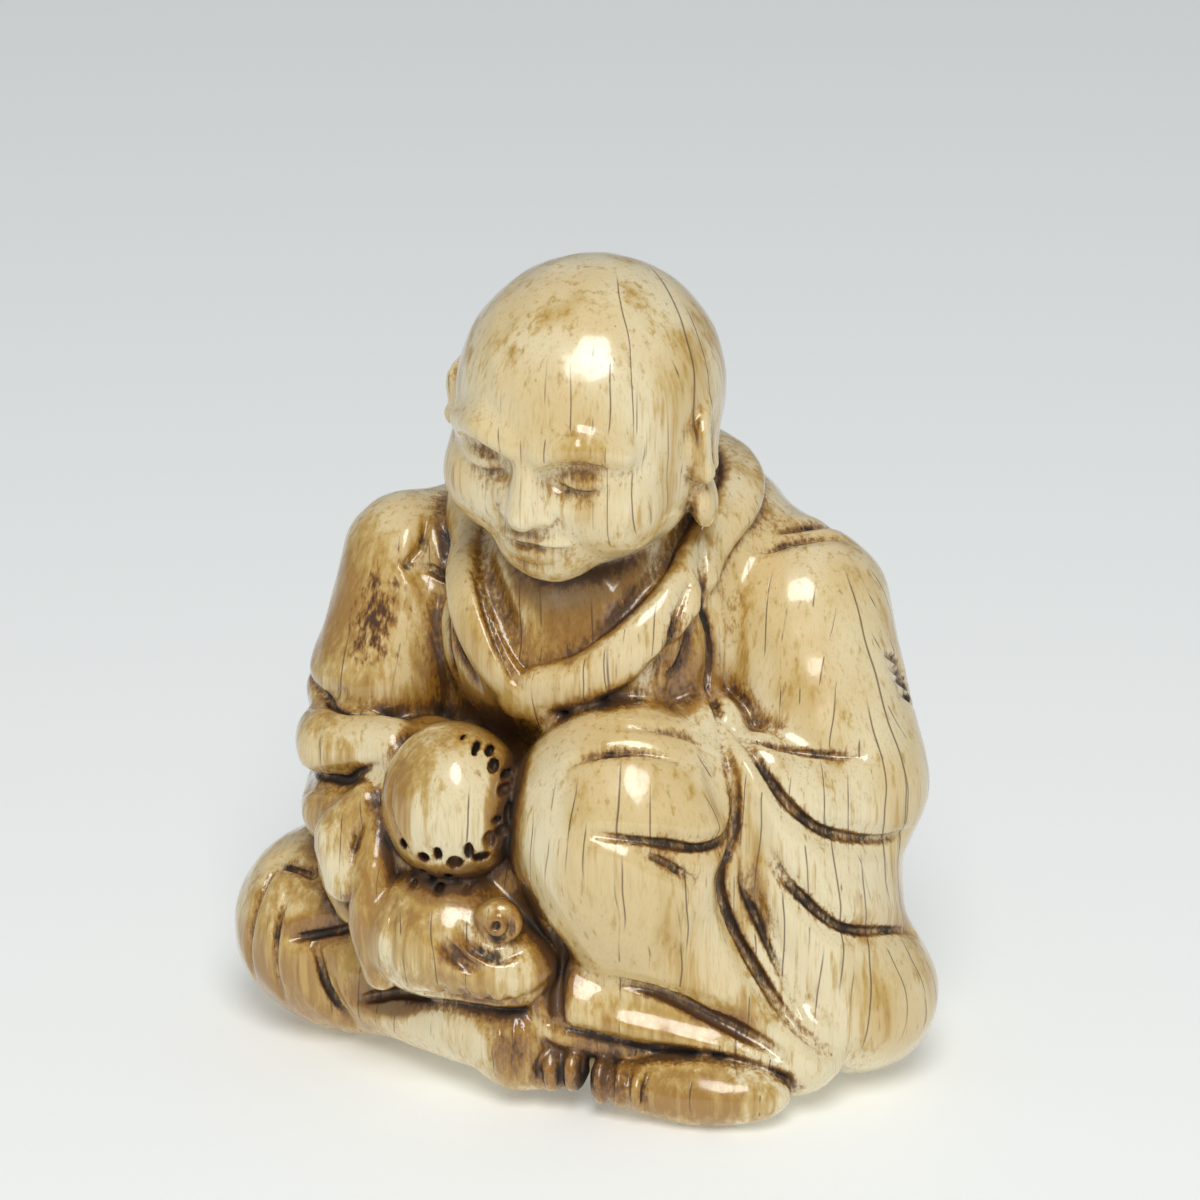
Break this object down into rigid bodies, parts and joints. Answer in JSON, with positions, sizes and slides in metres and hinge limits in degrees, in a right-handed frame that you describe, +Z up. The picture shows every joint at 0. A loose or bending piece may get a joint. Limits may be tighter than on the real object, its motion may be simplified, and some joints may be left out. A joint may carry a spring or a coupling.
{
  "type": "netsuke",
  "caption": "Carved netsuke of a seated monk with one knee raised, holding a round fish-headed drum, with a cord tunnel through its back.",
  "frame": {"origin": "on the flat underside, at the middle of the part's width and depth", "axes": "+Z up to the crown of the head, the figure faces -Y and its left side is +X"},
  "size_m": [0.0374, 0.0252, 0.0425],
  "materials": {
    "aged_ivory": "hand-polished aged ivory, dark stain in the carving and along age cracks"
  },
  "bodies": {
    "root": {"seated_monk": "aged_ivory"}
  },
  "joints": []
}
